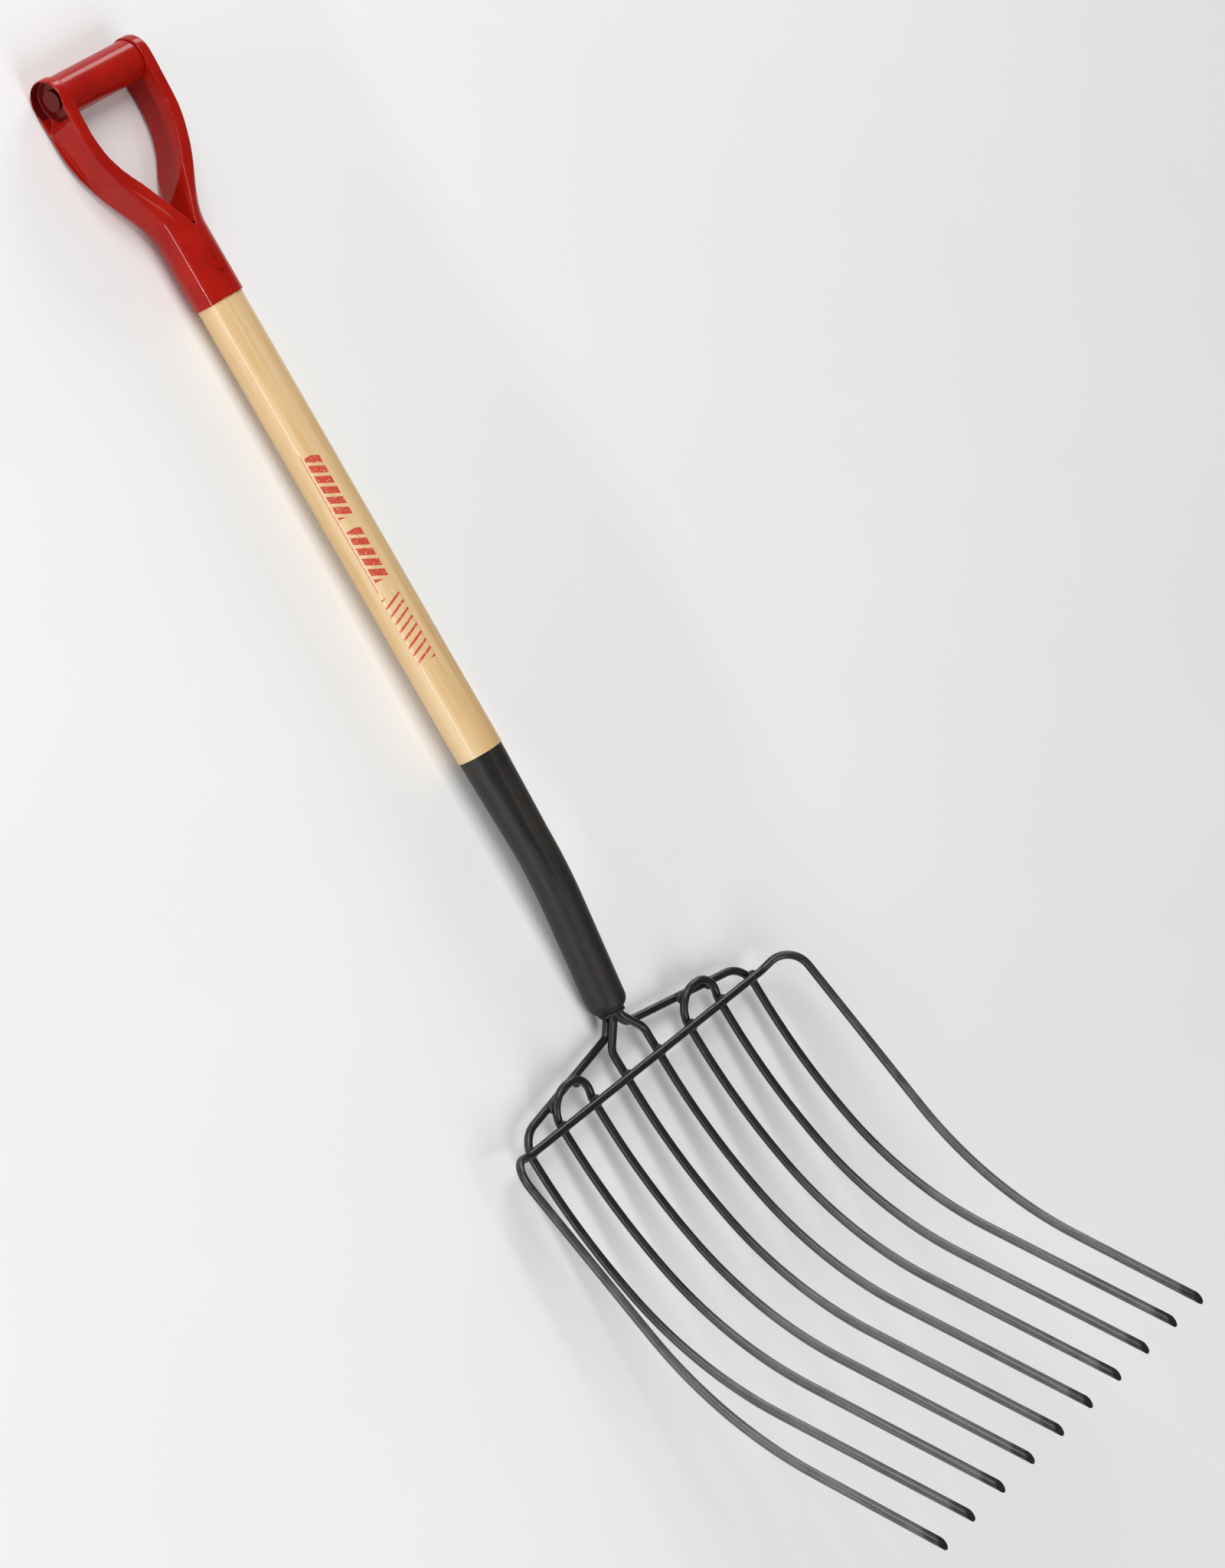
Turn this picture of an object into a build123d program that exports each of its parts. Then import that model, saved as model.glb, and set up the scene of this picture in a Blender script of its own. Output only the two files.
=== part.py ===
from build123d import *
import math
import os

# Ten-tine bedding fork with a steel D-handle.
# Modelling frame, millimetres: X runs along the shaft from the middle of the hand grip to the
# tines, Y across the head, Z towards the hollow side of the tines.  Each piece is built there
# and laid down in its resting pose, hollow side up, when it is written.

# ---- driving dimensions -------------------------------------------------------------------
shaft_d = 36.5            # turned hardwood shaft
shaft_shown = 383.0       # bare wood between the handle socket and the ferrule
shaft_inset = 4.0         # the wood starts this far above the neck, inside the socket
shaft_end_chamfer = 2.0
fit_gap = 0.05            # wood in its sockets, all round

grip_d = 32.0             # hand grip barrel
grip_span = 80.0          # clear hand width between the yoke arms
grip_edge = 1.5           # rounded ends of the barrel
arm_width = 10.0          # yoke arm, inner face to outer rim
eye_lip = 1.4             # the yoke's eyes stand this far proud of the barrel
sheet = 1.45              # yoke sheet steel
arm_depth = 30.0          # yoke arm front to back, halfway down
arm_mid = 0.45            # where that is, as a share of the way to the neck
arm_corner = 3.0          # rounded edges of the arms
arm_straight = 25.0       # straight run of the arms' inner faces below the grip axis
rim_straight = 15.0       # the outer rims run straight this much further
crotch_x = 108.0          # bottom of the hand opening, from the grip axis
crotch_wall = 22.0        # from there to where the yoke has become the round socket
opening_power = 2.2       # how late the inner faces close in
neck_round = 0.55         # the arms' edges start to round off at this share of the way down
valley_fall = 0.99        # the V below the hand opening climbs this steeply to the front and back
valley_flare = 0.54       # and its walls lean out this much
hollow_depth = 9.0        # cone above the wood, in the neck
socket_length = 54.5      # round handle socket below the neck
cup_end = 13.0            # the deep cup in an eye ends this far below the grip axis
cup_ramp = 9.0            # and rises over this length to the dished outer side of the arm
dish = 0.9                # depth of that dish
dish_short = 34.0         # it fades out this far above the crotch
grip_pin_d = 8.0          # rod that holds the grip barrel
grip_pin_head_d = 16.0
grip_pin_head_t = 3.0
socket_rivet_along = 30.0  # socket rivet, below the neck
socket_rivet_d = 5.0
socket_rivet_depth = 26.0
rivet_head_d = 9.0
rivet_head_t = 2.0

ferrule_step = 0.55       # the ferrule's rim lies this far below the wood, all round
ferrule_upper = 102.5     # from its rim to the bend
ferrule_taper = 3.8       # loss of diameter down to the bend
ferrule_end_taper = 0.6   # and from the bend to the closed end
ferrule_drop = 8.7        # degrees it turns down
ferrule_leg = 118.0       # from the bend to the closed end
ferrule_end_round = 10.0
ferrule_wall = 1.6
ferrule_nose = 6.0        # thickness of the closed end
ferrule_nail_along = 32.5  # nail, from the rim
ferrule_nail_d = 4.0
ferrule_nail_depth = 22.0
ferrule_nail_head_d = 8.0
ferrule_nail_head_t = 1.5
tenon_gap = 6.0           # the wood stops this far short of the ferrule's bend

rod_d = 6.4               # spring-steel rod of the tines, arms and crossbar
shank_gap = 0.4           # between the four shanks inside the ferrule
shank_in = 62.0           # length of shank inside the ferrule
hole_gap = 0.1            # shank holes in the ferrule nose, all round
head_clear = 45.9         # from the ferrule's closed end to the crossbar
head_lift = 1.25          # tine rods under the crossbar, above the closed end's middle
pitch = 39.8              # tine spacing at the crossbar
tip_pitch = 38.8          # tine spacing at the tips
heel_run = 66.0           # tine runs between the corners of its bent line
belly_run = 134.0
tine_run = 244.5
heel_angle = 2.0          # slope of each run, degrees
belly_angle = 15.5
tine_angle = 48.3
heel_bend = 450.0         # bend radii between the runs
belly_bend = 255.0
outer_rise = 19.9         # outer tines stand this far above the inner ones at the crossbar
outer_step = 35.9         # from the second tine out to the outer tine's corner
outer_lead = 6.5          # the corner lies this far on the handle's side of the crossbar
outer_corner_bend = 20.0
outer_kick = 14.0         # bend where the crossbar starts to rise
outer_run = 240.8         # straight run of an outer tine to its single bend
outer_angle = 13.6
outer_tip_run = 195.0
outer_tip_angle = 47.6
outer_bend = 265.0
kick_past = 7.0           # the rise starts this far outside the second tine
loop_leg = 5.1            # straight left in a loop's legs before the half circle
loop_flat = 4.0           # its legs run this far back before they rise
loop_straight = 1.6       # half the straight across the top of a loop
loop_over = 1.15          # rise of a loop over the brace, in rod diameters
loop_set = 12.0           # bend where a leg starts to rise
brace_back = 11.5         # brace arm's corner behind the crossbar
brace_corner = 22.0
brace_exit = 3.0          # straight shank past the ferrule before it turns
brace_knee_out = 15.4     # its knee, past the ferrule's closed end
brace_knee_side = 9.6     # outwards of its shank
brace_knee_drop = 2.1     # below its shank
brace_knee_bend = 9.0
brace_exit_bend = 10.0
centre_back = 21.5        # centre tine's corner behind the crossbar
centre_corner = 12.0
centre_exit = 4.0         # straight shank past the ferrule before it turns
centre_exit_bend = 14.0
point_length = 9.0        # slanted cut that points each tine
weld_size = 0.72          # weld bead radius, in rod diameters
weld_squash = 0.8
nose_weld_rim = 3.9       # weld at the ferrule's nose, past the bundle of shanks
nose_weld_squash = 0.35

# ---- worked out from them -----------------------------------------------------------------
shaft_r = shaft_d / 2
socket_r = shaft_r + fit_gap + sheet
grip_half = grip_span / 2
yoke_half = grip_half + arm_width
eye_r = grip_d / 2 + eye_lip
neck_x = crotch_x + crotch_wall
dish_end = crotch_x - dish_short
shaft_top = neck_x - shaft_inset
socket_end = neck_x + socket_length
socket_rivet_x = neck_x + socket_rivet_along
ferrule_top = socket_end + shaft_shown
ferrule_top_r = shaft_r - ferrule_step
ferrule_bend_x = ferrule_top + ferrule_upper
ferrule_bend_r = ferrule_top_r - ferrule_taper / 2
ferrule_end_r = ferrule_bend_r - ferrule_end_taper / 2
ferrule_nail_x = ferrule_top + ferrule_nail_along
drop = math.radians(ferrule_drop)
ferrule_axis = Vector(math.cos(drop), 0, -math.sin(drop))
ferrule_up = Vector(math.sin(drop), 0, math.cos(drop))
ferrule_turn = Vector(ferrule_bend_x, 0, 0)
ferrule_end = ferrule_turn + ferrule_axis * ferrule_leg
rod_r = rod_d / 2
shank_off = rod_r + shank_gap / 2
crossbar_x = ferrule_end.X + head_clear
head_z = ferrule_end.Z + head_lift
outer_half = 3.5 * pitch + outer_step
loop_back = pitch / 2 + loop_leg
loop_rise = loop_over * rod_d
weld_r = weld_size * rod_d
nose_weld_r = shank_off + rod_r + nose_weld_rim


# ---- helpers ------------------------------------------------------------------------------
def x_cylinder(radius, start, end):
    """A round bar along X."""
    return Pos(start, 0, 0) * Rot(0, 90, 0) * Cylinder(
        radius, end - start, align=(Align.CENTER, Align.CENTER, Align.MIN))


def bar_from(point, direction, radius, length):
    """A round bar from a point along a direction."""
    return Plane(origin=point, z_dir=direction) * Cylinder(
        radius, length, align=(Align.CENTER, Align.CENTER, Align.MIN))


def turned(outline, plane):
    """Revolve a half outline, (along, radius) points and edges, about the plane's X axis."""
    return revolve(plane * make_face(outline), axis=Axis(plane.origin, plane.x_dir))


def bent_rod(path):
    """A round rod along a path."""
    start = Plane(origin=path @ 0, z_dir=path % 0)
    return sweep(start * Circle(rod_r), path=path)


def flip(point):
    """The same point on the other side of the fork."""
    return Vector(point.X, -point.Y, point.Z)


def pointed(rod, corner, tip):
    """Cut the end of a tine on the slant, from its hollow side down to its back."""
    along = (tip - corner).normalized()
    side = Vector(0, 1, 0)
    up = along.cross(side).normalized()
    slant = (along * point_length - up * rod_d).normalized()
    face = Plane(origin=tip - up * rod_r, x_dir=side, z_dir=slant.cross(side))
    if face.z_dir.dot(up) < 0:
        face = Plane(origin=face.origin, x_dir=side, z_dir=face.z_dir * -1)
    cutter = face * Box(4 * rod_d, 4 * point_length, 2 * rod_d,
                        align=(Align.CENTER, Align.CENTER, Align.MIN))
    return rod - cutter


# ---- D-handle -----------------------------------------------------------------------------
def inner_y(x):
    """Inner face of a yoke arm."""
    t = max(0.0, (x - arm_straight) / (crotch_x - arm_straight))
    return grip_half * (1 - t ** opening_power)


def outer_y(x):
    """Outer rim of a yoke arm."""
    start = arm_straight + rim_straight
    t = min(1.0, max(0.0, (x - start) / (neck_x - start)))
    return yoke_half - (yoke_half - socket_r) * t * t * (3 - 2 * t)


def stations(start, end, count):
    return [start + (end - start) * i / (count - 1) for i in range(count)]


def hand_opening():
    """The space between the arms, through the yoke."""
    curve = [(x, inner_y(x)) for x in stations(arm_straight, crotch_x, 7)]
    with BuildLine() as line:
        Spline(*curve)
        Line(curve[-1], (-2 * eye_r, 0))
        Line((-2 * eye_r, 0), (-2 * eye_r, grip_half))
        Line((-2 * eye_r, grip_half), curve[0])
    half = extrude(make_face(line.line), amount=2 * socket_r, both=True)
    return half + mirror(half, about=Plane.XZ)


def blend(start, end, share):
    """A smooth change from one value to another."""
    share = min(1.0, max(0.0, share))
    return start + (end - start) * share * share * (3 - 2 * share)


def half_depth(x):
    """Half the depth of the yoke, front to back."""
    middle = arm_mid * neck_x
    if x < middle:
        return blend(eye_r, arm_depth / 2, x / middle)
    return blend(arm_depth / 2, socket_r, (x - middle) / (neck_x - middle))


def yoke_section(x):
    """The yoke's outline across the fork, from a flat bar at the eyes to the round socket."""
    start = neck_round * neck_x
    full = min(half_depth(x), outer_y(x)) - fit_gap
    corner = blend(arm_corner, full, (x - start) / (neck_x - start))
    return Plane.YZ.offset(x) * RectangleRounded(2 * outer_y(x), 2 * half_depth(x), corner)


def eye_tops():
    """The round tops of the eyes: half a turn of the yoke's section about the grip axis."""
    upper = yoke_section(0) & Plane.YZ * Pos(0, eye_r, 0) * Rectangle(4 * yoke_half, 2 * eye_r)
    return revolve(upper, axis=Axis((0, 0, 0), (0, -1, 0)), revolution_arc=180)


def arm_recess():
    """The hollow outer side of one arm: a deep cup in the eye, then a shallow dish."""
    floor = grip_half + sheet
    ramp = cup_end + cup_ramp
    with BuildLine() as line:
        Polyline((-2 * eye_r, floor), (cup_end, floor), (ramp, outer_y(ramp) - dish))
        Line((ramp, outer_y(ramp) - dish), (dish_end, outer_y(dish_end)))
        Polyline((dish_end, outer_y(dish_end)), (dish_end, 2 * yoke_half),
                 (-2 * eye_r, 2 * yoke_half), (-2 * eye_r, floor))
    plan = extrude(make_face(line.line), amount=2 * socket_r, both=True)
    below = Box(dish_end, 4 * yoke_half, arm_depth - 2 * sheet,
                align=(Align.MIN, Align.CENTER, Align.CENTER))
    cup = bar_from((0, 0, 0), (0, 1, 0), eye_r - sheet, 2 * yoke_half)
    return plan & (cup + below)


def valley(face):
    """The V between the arms below the hand opening, on the front (1) or the back (-1)."""
    fall = Vector(1, 0, face * valley_fall).normalized()
    start = Vector(crotch_x, 0, 0) - fall * (eye_r * valley_flare)
    plane = Plane(origin=start, x_dir=(0, 1, 0), z_dir=fall)
    up = face if plane.y_dir.Z > 0 else -face
    reach = 3 * socket_r
    lean = valley_flare / fall.X
    with BuildLine() as line:
        Polyline((0, 0), (lean * reach, up * reach), (-lean * reach, up * reach), (0, 0))
    return extrude(plane * make_face(line.line), amount=4 * socket_r)


def make_yoke():
    """Two stamped halves that meet down the middle of the socket."""
    body = eye_tops() + loft([yoke_section(x) for x in stations(0, neck_x, 11)])
    body += x_cylinder(socket_r, neck_x, socket_end)
    body -= x_cylinder(shaft_r + fit_gap, shaft_top - 1, socket_end + 1)
    cone_r = shaft_r - 2 * sheet
    body -= Pos(shaft_top, 0, 0) * Rot(0, -90, 0) * Cone(
        cone_r, 1, hollow_depth, align=(Align.CENTER, Align.CENTER, Align.MIN))
    body -= hand_opening()
    body -= valley(1)
    body -= valley(-1)
    body -= bar_from((0, -2 * yoke_half, 0), (0, 1, 0), grip_pin_d / 2, 4 * yoke_half)
    body -= make_socket_rivet()
    half_space = Box(1000, 500, 500, align=(Align.CENTER, Align.MIN, Align.CENTER))
    right = (body & half_space) - arm_recess()
    return right, mirror(right, about=Plane.XZ)


def make_grip():
    barrel = bar_from((0, -grip_half, 0), (0, 1, 0), grip_d / 2, grip_span)
    barrel = fillet(barrel.edges().filter_by(GeomType.CIRCLE), grip_edge)
    return barrel - bar_from((0, -yoke_half, 0), (0, 1, 0), grip_pin_d / 2, 2 * yoke_half)


def make_grip_pin():
    """Rod through the barrel and both webs, headed inside the hollow eyes."""
    face = grip_half + sheet
    pin = bar_from((0, -face, 0), (0, 1, 0), grip_pin_d / 2, 2 * face)
    for side in (1, -1):
        pin += bar_from((0, side * face, 0), (0, side, 0), grip_pin_head_d / 2, grip_pin_head_t)
    return pin


def make_socket_rivet():
    """Rivet from the front through the socket into the wood, with a low round head."""
    pin = bar_from((socket_rivet_x, 0, socket_r - socket_rivet_depth), (0, 0, 1),
                   socket_rivet_d / 2, socket_rivet_depth + rivet_head_t)
    head = bar_from((socket_rivet_x, 0, socket_r - rivet_head_t), (0, 0, 1),
                    rivet_head_d / 2, 2 * rivet_head_t)
    return pin + (head - x_cylinder(socket_r, 0, socket_end))


# ---- shaft and ferrule --------------------------------------------------------------------
def tenon_radius(x):
    share = (x - ferrule_top) / (ferrule_bend_x - ferrule_top)
    return ferrule_top_r - ferrule_taper / 2 * share - ferrule_wall


def make_shaft():
    """Turned shaft with a tapered tenon in the ferrule."""
    end = ferrule_bend_x - tenon_gap
    with BuildLine(Plane.XZ) as line:
        Polyline((shaft_top, 0), (shaft_top, shaft_r - shaft_end_chamfer),
                 (shaft_top + shaft_end_chamfer, shaft_r),
                 (ferrule_top, shaft_r), (ferrule_top, tenon_radius(ferrule_top) - fit_gap),
                 (end, tenon_radius(end) - fit_gap), (end, 0), (shaft_top, 0))
    wood = revolve(make_face(line.line), axis=Axis.X)
    return wood - make_socket_rivet() - ferrule_nail()


def ferrule_body(wall):
    """The ferrule's outside, or its inside when a wall is taken off."""
    top_r = ferrule_top_r - wall
    turn_r = ferrule_bend_r - wall
    end_r = ferrule_end_r - wall
    nose = ferrule_nose if wall else 0
    length = ferrule_leg - nose
    corner = ferrule_end_round - wall
    reach = 1.0 if wall else 0.0
    with BuildLine(Plane.XZ) as line:
        Polyline((ferrule_bend_x, 0), (ferrule_top - reach, 0), (ferrule_top - reach, top_r),
                 (ferrule_bend_x, turn_r), (ferrule_bend_x, 0))
    upper = revolve(make_face(line.line), axis=Axis.X)
    leg = Plane(origin=ferrule_turn, x_dir=ferrule_axis, z_dir=(0, 1, 0))
    with BuildLine() as line:
        Line((0, 0), (0, turn_r))
        Line((0, turn_r), (length - corner, end_r))
        ThreePointArc((length - corner, end_r),
                      (length - corner * (1 - math.sqrt(0.5)), end_r - corner * (1 - math.sqrt(0.5))),
                      (length, end_r - corner))
        Line((length, end_r - corner), (length, 0))
        Line((length, 0), (0, 0))
    lower = turned(line.line, leg)
    return upper + lower + Pos(*ferrule_turn) * Sphere(turn_r)


def ferrule_nail():
    """Nail from the back of the fork through the ferrule into the wood."""
    skin = tenon_radius(ferrule_nail_x) + ferrule_wall
    pin = bar_from((ferrule_nail_x, 0, -skin - ferrule_nail_head_t), (0, 0, 1),
                   ferrule_nail_d / 2, ferrule_nail_depth + ferrule_nail_head_t)
    head = bar_from((ferrule_nail_x, 0, -skin - ferrule_nail_head_t), (0, 0, 1),
                    ferrule_nail_head_d / 2, 2 * ferrule_nail_head_t)
    return pin + (head - ferrule_body(0))


def make_ferrule(shanks):
    shell = ferrule_body(0) - ferrule_body(ferrule_wall) - ferrule_nail()
    for start in shanks:
        shell -= bar_from(start, ferrule_axis, rod_r + hole_gap, ferrule_leg)
    return shell


# ---- tines --------------------------------------------------------------------------------
def run(angle, length, toe):
    """A straight run that climbs at an angle and leans across by the toe-in."""
    climb = math.radians(angle)
    flat = Vector(math.cos(toe), math.sin(toe), 0) * math.cos(climb)
    return (flat + Vector(0, 0, math.sin(climb))) * length


def tine_line(place):
    """Crossbar point, two corners and tip of an inner tine; place counts pitches from the middle."""
    reach = sum(length * math.cos(math.radians(angle)) for length, angle in (
        (heel_run, heel_angle), (belly_run, belly_angle), (tine_run, tine_angle)))
    toe = -math.atan(place * (pitch - tip_pitch) / reach)
    foot = Vector(crossbar_x, place * pitch, head_z)
    heel = foot + run(heel_angle, heel_run, toe)
    belly = heel + run(belly_angle, belly_run, toe)
    tip = belly + run(tine_angle, tine_run, toe)
    return foot, heel, belly, tip, toe


def shank_start(side, level):
    """Where a shank starts, inside the ferrule."""
    return (ferrule_turn + ferrule_axis * (ferrule_leg - shank_in)
            + Vector(0, side * shank_off, 0) + ferrule_up * (level * shank_off))


def make_centre_tine(side):
    """A middle tine with its cranked shank, on the hollow side of the bundle."""
    foot, heel, belly, tip, toe = tine_line(side * 0.5)
    start = shank_start(side, 1)
    leave = start + ferrule_axis * (shank_in + centre_exit)
    corner = foot - run(heel_angle, centre_back, toe)
    path = FilletPolyline(start, leave, corner, heel, belly, tip,
                          radius=[centre_exit_bend, centre_corner, heel_bend, belly_bend])
    return pointed(bent_rod(path), belly, tip)


def brace_path(side):
    """From inside the ferrule, out along the back of the head and down the second tine."""
    foot, heel, belly, tip, toe = tine_line(side * 3.5)
    start = shank_start(side, -1)
    leave = start + ferrule_axis * (shank_in + brace_exit)
    knee = (ferrule_end + ferrule_up * -shank_off
            + Vector(brace_knee_out, side * (shank_off + brace_knee_side), -brace_knee_drop))
    corner = foot - run(heel_angle, brace_back, toe)
    return FilletPolyline(
        start, leave, knee, corner, heel, belly, tip,
        radius=[brace_exit_bend, brace_knee_bend, brace_corner, heel_bend, belly_bend])


def make_brace_tine(side):
    """The second tine from an edge: its rod runs back to the ferrule as a brace."""
    _, _, belly, tip, _ = tine_line(side * 3.5)
    return pointed(bent_rod(brace_path(side)), belly, tip)


def loop_path(side):
    """Up one tine, round the loop behind the crossbar and down the next tine."""
    foot_a, heel_a, belly_a, tip_a, toe_a = tine_line(side * 2.5)
    foot_b, heel_b, belly_b, tip_b, toe_b = tine_line(side * 1.5)
    foot_a -= run(heel_angle, loop_flat, toe_a)
    foot_b -= run(heel_angle, loop_flat, toe_b)
    back = Vector(loop_flat - loop_back, 0, loop_rise)
    loop_bend = pitch / 2 - loop_straight
    return FilletPolyline(
        tip_a, belly_a, heel_a, foot_a, foot_a + back,
        foot_b + back, foot_b, heel_b, belly_b, tip_b,
        radius=[belly_bend, heel_bend, loop_set, loop_bend,
                loop_bend, loop_set, heel_bend, belly_bend])


def make_looped_tines(side):
    """Two tines from one rod, looped behind the crossbar over the brace."""
    _, _, belly_a, tip_a, _ = tine_line(side * 2.5)
    _, _, belly_b, tip_b, _ = tine_line(side * 1.5)
    rod = bent_rod(loop_path(side))
    return pointed(pointed(rod, belly_a, tip_a), belly_b, tip_b)


def make_frame_rod():
    """Both outer tines and the crossbar, from one rod that lies over the other tines."""
    bar_z = head_z + rod_d
    toe = -math.atan(4.5 * (pitch - tip_pitch) / (2 * outer_run))
    kick = Vector(crossbar_x, 3.5 * pitch + kick_past, bar_z)
    corner = Vector(crossbar_x - outer_lead, outer_half, head_z + outer_rise)
    bend = corner + run(outer_angle, outer_run, toe)
    tip = bend + run(outer_tip_angle, outer_tip_run, toe)
    right = [tip, bend, corner, kick]
    left = [flip(point) for point in reversed(right)]
    radii = [outer_bend, outer_corner_bend, outer_kick]
    rod = bent_rod(FilletPolyline(*right, *left, radius=radii + radii[::-1]))
    return pointed(pointed(rod, bend, tip), flip(bend), flip(tip))


# ---- welds --------------------------------------------------------------------------------
def bead(point, rods):
    """A weld bead in the corners where two rods touch, with the rods cut out of it."""
    blob = Pos(*point) * scale(Sphere(weld_r), by=(1, 1, weld_squash))
    for rod in rods:
        blob -= rod
    return blob


def make_crossbar_welds(frame, tines):
    """One bead at each of the eight tines that the crossbar lies over."""
    beads = []
    for half in (0.5, 1.5, 2.5, 3.5):
        for side in (1, -1):
            spot = (crossbar_x, side * half * pitch, head_z + rod_r)
            beads += bead(spot, [frame, tines[half, side]]).solids()
    return Compound(beads)


def loop_crossings(side):
    """Where the two legs of a loop pass over the brace, halfway between the two rods."""
    brace = brace_path(side).edges()
    crossings = []
    for leg in (0, 1):
        near_leg = [edge for edge in loop_path(side).edges()
                    if (edge.center().Y * side > 2 * pitch) == (leg == 0)]
        hit = min((a.distance_to_with_closest_points(b) for a in near_leg for b in brace),
                  key=lambda found: found[0])
        crossings.append((hit[1] + hit[2]) / 2)
    return crossings


def make_brace_welds(tines):
    """A bead at each leg of the two loops, where it passes over the brace."""
    beads = []
    for side in (1, -1):
        for spot in loop_crossings(side):
            beads += bead(spot, [tines[2.5, side], tines[3.5, side]]).solids()
    return Compound(beads)


def make_nose_weld(ferrule, rods):
    """Weld that closes the ferrule's nose round the four shanks."""
    face = Plane(origin=ferrule_end, z_dir=ferrule_axis)
    cap = face * scale(Sphere(nose_weld_r), by=(1, 1, nose_weld_squash))
    cap -= ferrule_body(0)
    for rod in rods:
        cap -= rod
    return Compound(cap.solids())


# ---- build --------------------------------------------------------------------------------
parts = {}
parts["yoke_right"], parts["yoke_left"] = make_yoke()
parts["grip_barrel"] = make_grip()
parts["grip_pin"] = make_grip_pin()
parts["socket_rivet"] = make_socket_rivet()
parts["wood_shaft"] = make_shaft()
parts["ferrule"] = make_ferrule([shank_start(s, l) for s in (1, -1) for l in (1, -1)])
parts["ferrule_nail"] = ferrule_nail()
parts["frame_rod"] = make_frame_rod()
tines = {}
for name, side in (("right", 1), ("left", -1)):
    centre = make_centre_tine(side)
    looped = make_looped_tines(side)
    brace = make_brace_tine(side)
    tines.update({(0.5, side): centre, (1.5, side): looped,
                  (2.5, side): looped, (3.5, side): brace})
    parts["centre_tine_" + name] = centre
    parts["looped_tines_" + name] = looped
    parts["brace_tine_" + name] = brace
parts["crossbar_welds"] = make_crossbar_welds(parts["frame_rod"], tines)
parts["brace_welds"] = make_brace_welds(tines)
parts["nose_weld"] = make_nose_weld(
    parts["ferrule"], [tines[half, side] for half in (0.5, 3.5) for side in (1, -1)])

# ---- lay it down: the eyes of the yoke and the belly of the ferrule touch the ground ---------
belly_along = ferrule_leg - ferrule_end_round
belly_spot = ferrule_turn + ferrule_axis * belly_along - ferrule_up * ferrule_end_r
ground_slope = math.degrees(math.atan2(-eye_r - belly_spot.Z, belly_spot.X))
laid = {name: Rot(0, -ground_slope, 0) * part for name, part in parts.items()}
whole = Compound([solid for part in laid.values() for solid in part.solids()]).bounding_box()
rest = Pos(-whole.center().X, -whole.center().Y, -whole.min.Z)

os.makedirs("parts", exist_ok=True)
for name, part in laid.items():
    piece = rest * part
    piece.label = name
    export_step(piece, "parts/" + name + ".step")
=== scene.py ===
import math

import bpy
from mathutils import Matrix, Vector


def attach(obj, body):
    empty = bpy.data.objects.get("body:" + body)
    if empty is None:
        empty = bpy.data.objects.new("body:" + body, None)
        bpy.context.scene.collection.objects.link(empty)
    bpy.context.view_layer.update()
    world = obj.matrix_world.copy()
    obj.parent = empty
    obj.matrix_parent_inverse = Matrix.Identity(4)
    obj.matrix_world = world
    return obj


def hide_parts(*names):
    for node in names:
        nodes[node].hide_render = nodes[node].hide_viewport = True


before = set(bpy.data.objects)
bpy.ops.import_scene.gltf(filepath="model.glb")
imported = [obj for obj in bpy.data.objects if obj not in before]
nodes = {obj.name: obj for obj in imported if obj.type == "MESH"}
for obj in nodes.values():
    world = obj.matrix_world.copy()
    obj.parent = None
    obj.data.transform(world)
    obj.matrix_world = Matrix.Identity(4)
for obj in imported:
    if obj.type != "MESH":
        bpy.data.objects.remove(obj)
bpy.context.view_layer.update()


# ---- camera ---------------------------------------------------------------------------------
# The fork is seen from above on its -Y side, with the handle up and the tines down.
camera_data = bpy.data.cameras.new("camera")
camera_data.lens = 123.05
camera_data.sensor_width = 36.0
camera_data.clip_end = 50.0
camera = bpy.data.objects.new("camera", camera_data)
bpy.context.scene.collection.objects.link(camera)
camera_right = Vector((0.48175, 0.59791, 0.64064))
camera_up = Vector((-0.86524, 0.44039, 0.23963))
camera_back = camera_right.cross(camera_up)
camera.matrix_world = Matrix.Translation((-0.502232, -2.60738, 2.97782)) @ Matrix(
    (camera_right, camera_up, camera_back)).transposed().to_4x4()
bpy.context.scene.camera = camera


# ---- tine rods ------------------------------------------------------------------------------
# Seven spring-steel rods make the ten tines, the crossbar and the shanks.  They are painted
# near-black and turn paler grey at the straight ends, partly from worn paint and partly from a
# painted highlight where the rods tilt up to the light.  They are cut on the slant at the points,
# whose cut faces carry painted shade.  They swell a little towards the points; the CAD's rods
# keep one thickness.
class Signal:
    """A number that varies over a surface; arithmetic on it adds Math nodes."""

    def __init__(self, finish, socket):
        self.finish = finish
        self.socket = socket

    def maths(self, operation, first, second):
        return self.finish.node("ShaderNodeMath", {"operation": operation}, {0: first, 1: second})

    def __add__(self, other):
        return self.maths("ADD", self, other)

    def __sub__(self, other):
        return self.maths("SUBTRACT", self, other)

    def __rsub__(self, other):
        return self.maths("SUBTRACT", other, self)

    def __mul__(self, other):
        return self.maths("MULTIPLY", self, other)

    def __truediv__(self, other):
        return self.maths("DIVIDE", self, other)

    def __gt__(self, other):
        return self.maths("GREATER_THAN", self, other)

    def __lt__(self, other):
        return self.maths("LESS_THAN", self, other)

    __radd__ = __add__
    __rmul__ = __mul__


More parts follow.
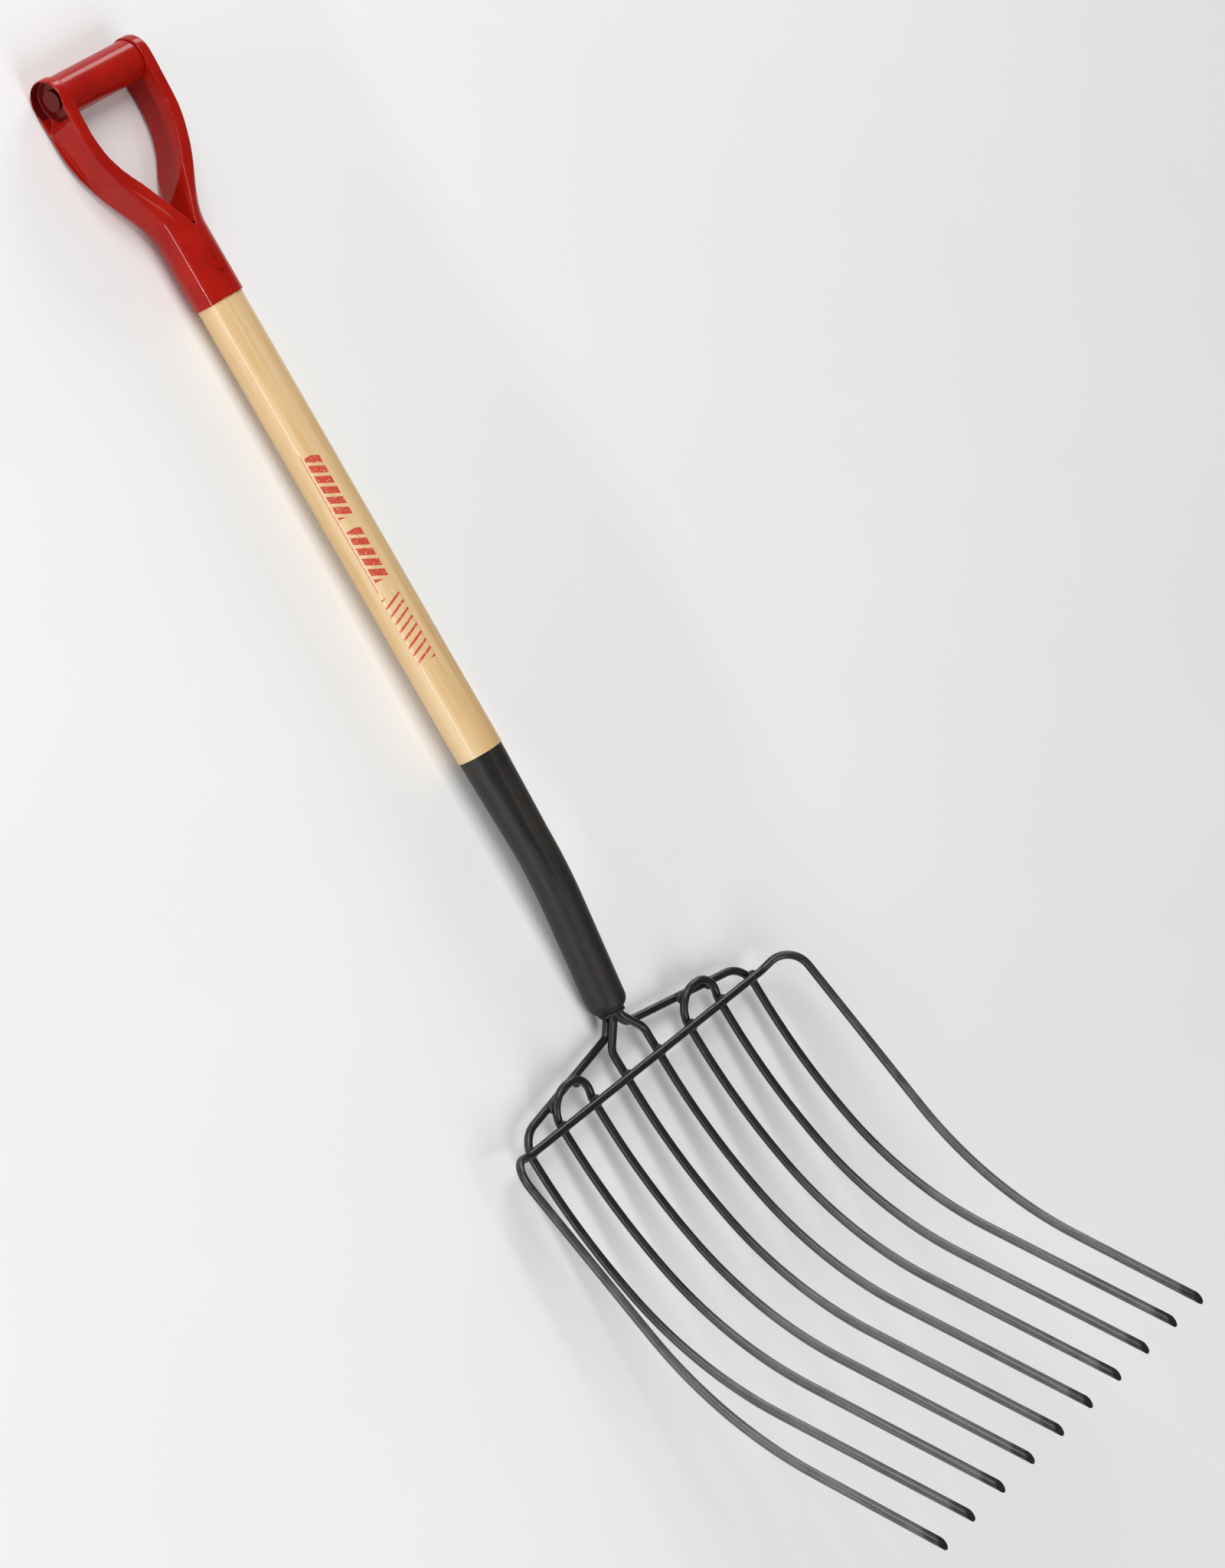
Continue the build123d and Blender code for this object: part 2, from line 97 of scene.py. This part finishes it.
class Finish:
    """A surface finish, mixed from shader nodes on a Principled shader."""

    def __init__(self, name, constants):
        self.name = name
        self.material = bpy.data.materials.new(name)
        self.material.use_nodes = True
        self.tree = self.material.node_tree
        self.shader = self.tree.nodes["Principled BSDF"]
        self.feed(self.shader, constants)

    def feed(self, node, inputs):
        for socket, value in inputs.items():
            if isinstance(value, Signal):
                self.tree.links.new(value.socket, node.inputs[socket])
            else:
                node.inputs[socket].default_value = value

    def node(self, kind, settings, inputs, out=0):
        made = self.tree.nodes.new(kind)
        for setting, value in settings.items():
            if setting == "stops":
                ramp = made.color_ramp
                while len(ramp.elements) < len(value):
                    ramp.elements.new(1.0)
                for element, (place, colour) in zip(ramp.elements, value):
                    element.position = place
                    element.color = (*colour, 1.0)
            else:
                setattr(made, setting, value)
        self.feed(made, inputs)
        return Signal(self, made.outputs[out])

    def surface(self, colour, roughness, height, depth):
        """Wire up the shader: colour, roughness and a bump of a given depth in metres."""
        bump = self.node("ShaderNodeBump", {}, {"Height": height, "Distance": depth})
        self.feed(self.shader, {"Base Color": colour, "Roughness": roughness, "Normal": bump})


def noise(finish, place, scale, detail):
    """A cloudy value from 0 to 1, about a scale-th of a metre across."""
    return finish.node("ShaderNodeTexNoise", {},
                       {"Vector": place, "Scale": scale, "Detail": detail, "Roughness": 0.55})


def ramp(finish, value, stops):
    """Colours along a value."""
    return finish.node("ShaderNodeValToRGB", {"stops": stops}, {0: value})


def share(finish, value, low, high):
    """0 at low, 1 at high and a smooth climb between them; low may be the larger."""
    return finish.node("ShaderNodeMapRange", {"interpolation_type": "SMOOTHSTEP"},
                       {"Value": value, "From Min": low, "From Max": high})


def blend(finish, amount, first, second):
    """A mix of two colours."""
    return finish.node("ShaderNodeMix", {"data_type": "RGBA"},
                       {0: amount, 6: first, 7: second}, out=2)


def axis_value(finish, place, axis):
    """One coordinate of a place: 0 for X, 1 for Y and 2 for Z."""
    return finish.node("ShaderNodeSeparateXYZ", {}, {0: place}, out=axis)


def object_place(finish):
    """Where a point of the surface is, in metres."""
    return finish.node("ShaderNodeTexCoord", {}, {}, out="Object")


def repaint(cad_name, finish):
    """Paint a CAD node that keeps its own mesh."""
    nodes[cad_name].data.materials.clear()
    nodes[cad_name].data.materials.append(finish.material)


def merged_copy(name, cad_name):
    """A CAD node's mesh as a new object, with its loose triangles joined up."""
    made = bpy.data.objects.new(name, nodes[cad_name].data.copy())
    bpy.context.scene.collection.objects.link(made)
    bpy.ops.object.select_all(action="DESELECT")
    bpy.context.view_layer.objects.active = made
    made.select_set(True)
    bpy.ops.object.mode_set(mode="EDIT")
    bpy.ops.mesh.select_all(action="SELECT")
    bpy.ops.mesh.remove_doubles(threshold=0.000002)
    bpy.ops.object.mode_set(mode="OBJECT")
    return made


def finish_piece(made, finish, cad_name):
    """Apply a piece's modifiers, paint it, and let it stand for its CAD node."""
    bpy.ops.object.select_all(action="DESELECT")
    bpy.context.view_layer.objects.active = made
    made.select_set(True)
    for modifier in list(made.modifiers):
        bpy.ops.object.modifier_apply(modifier=modifier.name)
    made.data.materials.clear()
    made.data.materials.append(finish.material)
    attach(made, "root")
    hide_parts(cad_name)


# Heights above the ground between which the rods turn paler grey (partly worn paint, partly a
# painted highlight), the points' cut faces get painted shade and the rods swell, and how far
# they swell.
sheen_and_wear_from = 0.045
sheen_and_wear_to = 0.105
tip_shade_from = 0.2275
tip_shade_to = 0.2335
swell_from = 0.030
swell_to = 0.110
tine_swell = 0.00040
tine_crease = math.radians(35.0)

tine_paint = Finish("tine_paint", {"Specular IOR Level": 0.55})
tine_place = object_place(tine_paint)
tine_rise = axis_value(tine_paint, tine_place, 2)
tine_cloud = noise(tine_paint, tine_place, 55.0, 4.0)
tine_grit = noise(tine_paint, tine_place, 1500.0, 3.0)
# Paler grey towards the straight ends: partly worn paint, partly a painted highlight where the
# lower tines tilt up to the light.
tine_sheen_and_wear = share(tine_paint, tine_rise + tine_cloud * 0.03, sheen_and_wear_from, sheen_and_wear_to)
tine_dark = ramp(tine_paint, tine_cloud, [
    (0.3, (0.005, 0.007, 0.006)), (0.7, (0.010, 0.013, 0.011))])
tine_grey = ramp(tine_paint, tine_cloud, [
    (0.3, (0.062, 0.064, 0.059)), (0.7, (0.105, 0.107, 0.101))])
tine_colour = blend(tine_paint, tine_sheen_and_wear, tine_dark, tine_grey)
# Painted shade: the slant-cut faces at the points are darkened towards near-black.
tine_tip_shade = share(tine_paint, tine_rise, tip_shade_from, tip_shade_to)
tine_colour = blend(tine_paint, tine_tip_shade, tine_colour, (0.012, 0.014, 0.012, 1.0))
tine_relief = tine_cloud * 0.6 + tine_grit * 0.4
tine_paint.surface(tine_colour, 0.24 + tine_cloud * 0.18, tine_relief, 0.00015)

for cad_name in ("frame_rod", "centre_tine_right", "centre_tine_left", "looped_tines_right",
                 "looped_tines_left", "brace_tine_right", "brace_tine_left"):
    rod = merged_copy(cad_name + "_forged", cad_name)
    outward = [vertex.normal.copy() for vertex in rod.data.vertices]
    for vertex, normal in zip(rod.data.vertices, outward):
        rise = min(1.0, max(0.0, (vertex.co.z - swell_from) / (swell_to - swell_from)))
        vertex.co += normal * tine_swell * rise * rise * (3.0 - 2.0 * rise)
    finish_piece(rod, tine_paint, cad_name)
    bpy.ops.object.shade_smooth_by_angle(angle=tine_crease)


# ---- welds ----------------------------------------------------------------------------------
# Beads of weld metal where rods cross the bar, where the braces touch the loops, and round the
# shanks at the ferrule's nose.  They are left as they cooled, lumpy, and painted over.
weld_metal = Finish("weld_metal", {"Specular IOR Level": 0.4})
weld_place = object_place(weld_metal)
weld_ripple = noise(weld_metal, weld_place, 900.0, 4.0)
weld_colour = ramp(weld_metal, weld_ripple, [
    (0.3, (0.012, 0.014, 0.012)), (0.7, (0.040, 0.042, 0.038))])
weld_metal.surface(weld_colour, 0.4 + weld_ripple * 0.25, weld_ripple, 0.0006)

bead_lumps = bpy.data.textures.new("bead_lumps", "CLOUDS")
bead_lumps.noise_scale = 0.0045
bead_voxel = 0.0006
bead_lump_depth = 0.0022

for cad_name, piece_name in (("crossbar_welds", "crossbar_beads"), ("brace_welds", "brace_beads"),
                             ("nose_weld", "nose_bead")):
    bead = merged_copy(piece_name, cad_name)
    skin = bead.modifiers.new("even skin", "REMESH")
    skin.mode = "VOXEL"
    skin.voxel_size = bead_voxel
    soft = bead.modifiers.new("melted edges", "SMOOTH")
    soft.factor = 0.5
    soft.iterations = 6
    lumps = bead.modifiers.new("lumps", "DISPLACE")
    lumps.texture = bead_lumps
    lumps.texture_coords = "LOCAL"
    lumps.strength = bead_lump_depth
    lumps.mid_level = 0.45
    finish_piece(bead, weld_metal, cad_name)
    bpy.ops.object.shade_smooth()


# ---- ferrule --------------------------------------------------------------------------------
# A socket rolled from sheet steel and bent down towards the head, painted dark brown-black.
# Its rolled edges leave an open seam at the rim, which closes by the bend; painted shade darkens
# the seam.
slope = math.radians(1.0548)
grip_centre = Vector((-0.586305, 0.0, 0.017486))
shaft_line = Vector((math.cos(slope), 0.0, math.sin(slope)))
shaft_front = Vector((-math.sin(slope), 0.0, math.cos(slope)))
rim_along = 0.5675
bend_along = 0.670
rim_r = 0.0177
bend_r = 0.0158
nose_r = 0.0155
leg_length = 0.118
nose_round = 0.010
bend_turn = math.radians(8.7)
bend_sweep_r = 0.340
bend_reach = bend_sweep_r * math.tan(bend_turn / 2)
seam_angle = math.radians(125.0)
seam_half_width = 0.0042
seam_least_width = 0.0012
seam_taper = 0.7
seam_depth = 0.0010
seam_end = bend_along - 0.014
# Half-width and taper of the band of painted shade along the seam, and where it fades out.
gap_shade_half_width = 0.0040
gap_shade_taper = 0.026
gap_shade_full_to = bend_along - 0.012
gap_shade_end = bend_along + 0.022
sheet_thickness = 0.0014
nose_inset = 0.0015
ferrule_crease = math.radians(40.0)
ferrule_sides = 144
upper_steps = 40
bend_steps = 12
leg_steps = 12
round_steps = 10


def shaft_place(finish, place):
    """A place measured along the shaft, across it and out of its front, from the grip."""
    return finish.node("ShaderNodeMapping", {"vector_type": "TEXTURE"}, {
        "Vector": place, "Location": grip_centre, "Rotation": (0.0, -slope, 0.0)})


ferrule_paint = Finish("ferrule_paint", {"Specular IOR Level": 0.35})
ferrule_place = object_place(ferrule_paint)
ferrule_drawn = ferrule_paint.node("ShaderNodeMapping", {}, {
    "Vector": ferrule_place, "Scale": (14.0, 700.0, 700.0)})
ferrule_lines = noise(ferrule_paint, ferrule_drawn, 1.0, 3.0)
ferrule_cloud = noise(ferrule_paint, ferrule_place, 60.0, 4.0)
ferrule_colour = ramp(ferrule_paint, ferrule_cloud * 0.6 + ferrule_lines * 0.4, [
    (0.3, (0.011, 0.009, 0.0075)), (0.7, (0.026, 0.022, 0.019))])
ferrule_turned = shaft_place(ferrule_paint, ferrule_place)
seam_along = axis_value(ferrule_paint, ferrule_turned, 0)
seam_side = axis_value(ferrule_paint, ferrule_turned, 1)
seam_up = axis_value(ferrule_paint, ferrule_turned, 2)
# Painted shade: a near-black band along the open seam's front edge, narrowing from the rim and
# fading out past the bend.
seam_off = seam_up * math.cos(seam_angle) - seam_side * math.sin(seam_angle)
seam_off = seam_off + ferrule_cloud * 0.0004
seam_width = gap_shade_half_width - (seam_along - rim_along) * gap_shade_taper
seam_spread = share(ferrule_paint, seam_off * seam_off / (seam_width * seam_width), 1.5, 0.5)
seam_front = (seam_side * math.cos(seam_angle) + seam_up * math.sin(seam_angle)) > 0.0
seam_painted_shade = seam_spread * seam_front * share(ferrule_paint, seam_along, gap_shade_end, gap_shade_full_to)
ferrule_colour = blend(ferrule_paint, seam_painted_shade * 0.85, ferrule_colour,
                       (0.003, 0.0025, 0.002, 1.0))
ferrule_paint.surface(ferrule_colour, 0.40 + ferrule_cloud * 0.2, ferrule_lines, 0.0002)


def extrude_ring(line, distance, scale, centre):
    """Draw the selected ring out along a line, then scale it about its new centre."""
    bpy.ops.mesh.extrude_edges_move(TRANSFORM_OT_translate={"value": line * distance})
    bpy.ops.transform.resize(value=(scale, scale, scale), center_override=centre)


rim_centre = grip_centre + shaft_line * rim_along
bpy.ops.object.select_all(action="DESELECT")
bpy.ops.mesh.primitive_circle_add(vertices=ferrule_sides, radius=rim_r, location=rim_centre,
                                  rotation=(0.0, math.pi / 2 - slope, 0.0))
ferrule = bpy.context.object
ferrule.name = "ferrule_socket"
bpy.ops.object.transform_apply(location=True, rotation=True, scale=True)
bpy.ops.object.mode_set(mode="EDIT")
bpy.ops.mesh.select_all(action="SELECT")
upper_step = (bend_along - bend_reach - rim_along) / upper_steps
centre = rim_centre.copy()
radius = rim_r
for step in range(1, upper_steps + 1):
    centre = centre + shaft_line * upper_step
    next_radius = rim_r + (bend_r - rim_r) * step / upper_steps
    extrude_ring(shaft_line, upper_step, next_radius / radius, centre)
    radius = next_radius
leg_line = shaft_line * math.cos(bend_turn) - shaft_front * math.sin(bend_turn)
bpy.ops.mesh.spin(steps=bend_steps, angle=-bend_turn, axis=(0.0, 1.0, 0.0),
                  center=centre - shaft_front * bend_sweep_r)
centre = grip_centre + shaft_line * bend_along + leg_line * bend_reach
leg_step = (leg_length - bend_reach - nose_round) / leg_steps
for step in range(1, leg_steps + 1):
    centre = centre + leg_line * leg_step
    next_radius = bend_r + (nose_r - bend_r) * step / leg_steps
    extrude_ring(leg_line, leg_step, next_radius / radius, centre)
    radius = next_radius
for step in range(1, round_steps + 1):
    quarter = math.pi / 2 * step / round_steps
    before = math.pi / 2 * (step - 1) / round_steps
    nose_step = nose_round * (math.sin(quarter) - math.sin(before))
    centre = centre + leg_line * nose_step
    next_radius = nose_r - nose_round * (1 - math.cos(quarter))
    extrude_ring(leg_line, nose_step, next_radius / radius, centre)
    radius = next_radius
bpy.ops.mesh.edge_face_add()
bpy.ops.mesh.inset(thickness=nose_inset)
bpy.ops.mesh.select_all(action="SELECT")
bpy.ops.mesh.remove_doubles(threshold=0.000001)
bpy.ops.mesh.normals_make_consistent(inside=False)
bpy.ops.object.mode_set(mode="OBJECT")

for vertex in ferrule.data.vertices:
    from_grip = vertex.co - grip_centre
    along = (from_grip.dot(shaft_line) - rim_along) / (seam_end - rim_along)
    if along < 1.0:
        front = from_grip.dot(shaft_front)
        across = math.atan2(front, from_grip.y) - seam_angle
        width = seam_half_width * (1.0 - along) ** seam_taper + seam_least_width
        nearness = max(0.0, 1.0 - (across * rim_r / width) ** 4)
        inward = Vector((0.0, -from_grip.y, 0.0)) - shaft_front * front
        vertex.co += inward.normalized() * seam_depth * nearness * min(1.0, (1.0 - along) * 3.0)

ferrule_wall = ferrule.modifiers.new("sheet", "SOLIDIFY")
ferrule_wall.thickness = sheet_thickness
ferrule_wall.offset = -1.0
finish_piece(ferrule, ferrule_paint, "ferrule")
bpy.ops.object.shade_smooth_by_angle(angle=ferrule_crease)

repaint("ferrule_nail", ferrule_paint)


# ---- wood shaft -----------------------------------------------------------------------------
# A straight turned hardwood shaft under clear lacquer, with a plain red printed mark of hatched
# bars.  Its upper end is riveted in the handle's socket and its tenon nailed in the ferrule.
print_face = math.atan2(0.73192, -0.66975)

# Places of the print: along the shaft in millimetres from the grip, round it in degrees.
bold_blocks = ((314.0, 366.0), (376.0, 419.0))
bold_round = (-23.0, 13.0)
bold_width = 8.7
bold_share = 0.68
bold_slant = 0.16
thin_block = (432.0, 487.0)
thin_round = (-25.0, 22.0)
thin_width = 6.6
thin_share = 0.30
thin_slant = 0.14
line_block = (311.0, 427.0)
line_round = (18.3, 21.0)

lacquered_wood = Finish("lacquered_wood", {"Coat Roughness": 0.12, "Specular IOR Level": 0.5})
wood_line = shaft_place(lacquered_wood, object_place(lacquered_wood))
wood_long = lacquered_wood.node("ShaderNodeMapping", {}, {
    "Vector": wood_line, "Scale": (2.2, 60.0, 60.0)})
wood_fine = lacquered_wood.node("ShaderNodeMapping", {}, {
    "Vector": wood_line, "Scale": (16.0, 620.0, 620.0)})
wood_grain = noise(lacquered_wood, wood_long, 1.0, 5.0)
wood_fibre = noise(lacquered_wood, wood_fine, 1.0, 3.0)
wood_mixed = wood_grain * 0.7 + wood_fibre * 0.3
wood_colour = ramp(lacquered_wood, wood_mixed, [
    (0.30, (0.52, 0.31, 0.12)), (0.47, (0.68, 0.45, 0.21)), (0.62, (0.76, 0.55, 0.31))])
wood_along = axis_value(lacquered_wood, wood_line, 0) * 1000.0
wood_side = axis_value(lacquered_wood, wood_line, 1)
wood_up = axis_value(lacquered_wood, wood_line, 2)
turned_side = wood_side * math.cos(print_face) + wood_up * math.sin(print_face)
turned_up = wood_up * math.cos(print_face) - wood_side * math.sin(print_face)
around = lacquered_wood.node("ShaderNodeMath", {"operation": "ARCTAN2"},
                             {0: turned_up, 1: turned_side})
around = around * math.degrees(1.0)


def between(value, low, high):
    """1 where a value lies between two others."""
    return (value > low) * (value < high)


def hatch(value, width, filled):
    """Slanted bars: 1 over the filled share of every width."""
    phase = lacquered_wood.node("ShaderNodeMath", {"operation": "FRACT"}, {0: value / width})
    return phase < filled


bold_bars = hatch(wood_along + around * bold_slant, bold_width, bold_share)
bold_bars = bold_bars * between(around, *bold_round)
bold_bars = bold_bars * (between(wood_along, *bold_blocks[0])
                         + between(wood_along, *bold_blocks[1]))
thin_bars = hatch(wood_along - around * thin_slant, thin_width, thin_share)
thin_bars = thin_bars * between(around, *thin_round) * between(wood_along, *thin_block)
base_line = between(around, *line_round) * between(wood_along, *line_block)
ink_flecks = noise(lacquered_wood, wood_line, 900.0, 2.0) > 0.36
ink = (bold_bars + thin_bars + base_line) * ink_flecks
wood_colour = blend(lacquered_wood, ink * 0.92, wood_colour, (0.54, 0.018, 0.012, 1.0))
lacquered_wood.surface(wood_colour, 0.34 + wood_fibre * 0.16, wood_fibre, 0.00012)
lacquered_wood.feed(lacquered_wood.shader, {"Coat Weight": 0.3})
repaint("wood_shaft", lacquered_wood)


# ---- D-handle yoke --------------------------------------------------------------------------
# Two stamped sheet-steel halves that meet down the middle of the socket, baked in red enamel.
# Each arm ends in an eye that is cupped on the outside, with painted shade inside the cup, and
# the arms part at a V.  The grip barrel, its pin and the socket's rivet share the enamel.
cup_r = 0.0164
cup_side = 0.0412
yoke_voxel = 0.00055
yoke_softening = 14

red_enamel = Finish("red_enamel", {
    "Coat Roughness": 0.07, "Coat Weight": 0.35, "Specular IOR Level": 0.05})
enamel_place = object_place(red_enamel)
enamel_cloud = noise(red_enamel, enamel_place, 35.0, 3.0)
enamel_peel = noise(red_enamel, enamel_place, 420.0, 2.0)
enamel_colour = ramp(red_enamel, enamel_cloud, [
    (0.3, (0.31, 0.006, 0.003)), (0.7, (0.40, 0.010, 0.004))])
enamel_line = shaft_place(red_enamel, enamel_place)
enamel_along = axis_value(red_enamel, enamel_line, 0)
enamel_side = axis_value(red_enamel, enamel_line, 1)
enamel_up = axis_value(red_enamel, enamel_line, 2)
from_pin = enamel_along * enamel_along + enamel_up * enamel_up
# Painted shade: the inside of each eye's cup is darkened towards a deep brown-red.
cup_painted_shade = (from_pin < cup_r ** 2) * (enamel_side * enamel_side > cup_side ** 2)
enamel_colour = blend(red_enamel, cup_painted_shade * 0.85, enamel_colour, (0.075, 0.003, 0.002, 1.0))
red_enamel.surface(enamel_colour, 0.26 + enamel_cloud * 0.12, enamel_peel, 0.00006)


def stamped_half(name, cad_name):
    """One half of the yoke: an even skin over the plain stamping, with its edges softened."""
    half = merged_copy(name, cad_name)
    skin = half.modifiers.new("even skin", "REMESH")
    skin.mode = "VOXEL"
    skin.voxel_size = yoke_voxel
    soft = half.modifiers.new("soft edges", "SMOOTH")
    soft.factor = 0.5
    soft.iterations = yoke_softening
    finish_piece(half, red_enamel, cad_name)
    bpy.ops.object.shade_smooth()


stamped_half("yoke_half_right", "yoke_right")
stamped_half("yoke_half_left", "yoke_left")

for name in ("grip_barrel", "grip_pin", "socket_rivet"):
    repaint(name, red_enamel)


# ---- floor and light ------------------------------------------------------------------------
# A plain pale floor under the fork, a strip light low on its -Y side, soft boxes high beyond
# its two ends, and one beyond the grip on the +Y side.
bpy.ops.object.select_all(action="DESELECT")
bpy.ops.mesh.primitive_plane_add(size=30.0, location=(0.0, 0.0, -0.0002))
floor = bpy.context.object
floor.name = "floor"
floor_paper = Finish("floor_paper", {"Specular IOR Level": 0.1})
floor_place = object_place(floor_paper)
floor_cloud = noise(floor_paper, floor_place, 3.0, 3.0)
floor_colour = ramp(floor_paper, floor_cloud, [
    (0.3, (0.90, 0.90, 0.895)), (0.7, (0.92, 0.92, 0.915))])
floor_paper.surface(floor_colour, 0.9 + floor_cloud * 0.05, floor_cloud, 0.0001)
floor.data.materials.append(floor_paper.material)


def soft_box(name, place, aim, width, height, power):
    """A rectangular studio light."""
    data = bpy.data.lights.new(name, "AREA")
    data.shape = "RECTANGLE"
    data.size = width
    data.size_y = height
    data.energy = power
    light = bpy.data.objects.new(name, data)
    bpy.context.scene.collection.objects.link(light)
    light.matrix_world = Matrix.Translation(place) @ (
        Vector(aim) - Vector(place)).to_track_quat("-Z", "Y").to_matrix().to_4x4()


soft_box("left_box", (-3.0, -0.8, 3.2), (0.0, 0.0, 0.0), 2.4, 3.2, 116.0)
soft_box("right_box", (3.0, -0.8, 3.2), (0.0, 0.0, 0.0), 2.4, 3.2, 78.0)
soft_box("strip", (-0.2, -2.6, 0.45), (0.0, 0.0, 0.05), 3.2, 0.06, 34.0)
soft_box("far_box", (-3.5, 3.0, 1.2), (-0.2, 0.0, 0.05), 2.4, 1.4, 80.0)

world = bpy.data.worlds.new("studio")
world.use_nodes = True
world.node_tree.nodes["Background"].inputs["Color"].default_value = (1.0, 1.0, 1.0, 1.0)
world.node_tree.nodes["Background"].inputs["Strength"].default_value = 0.15
bpy.context.scene.world = world
bpy.context.scene.view_settings.view_transform = "Standard"
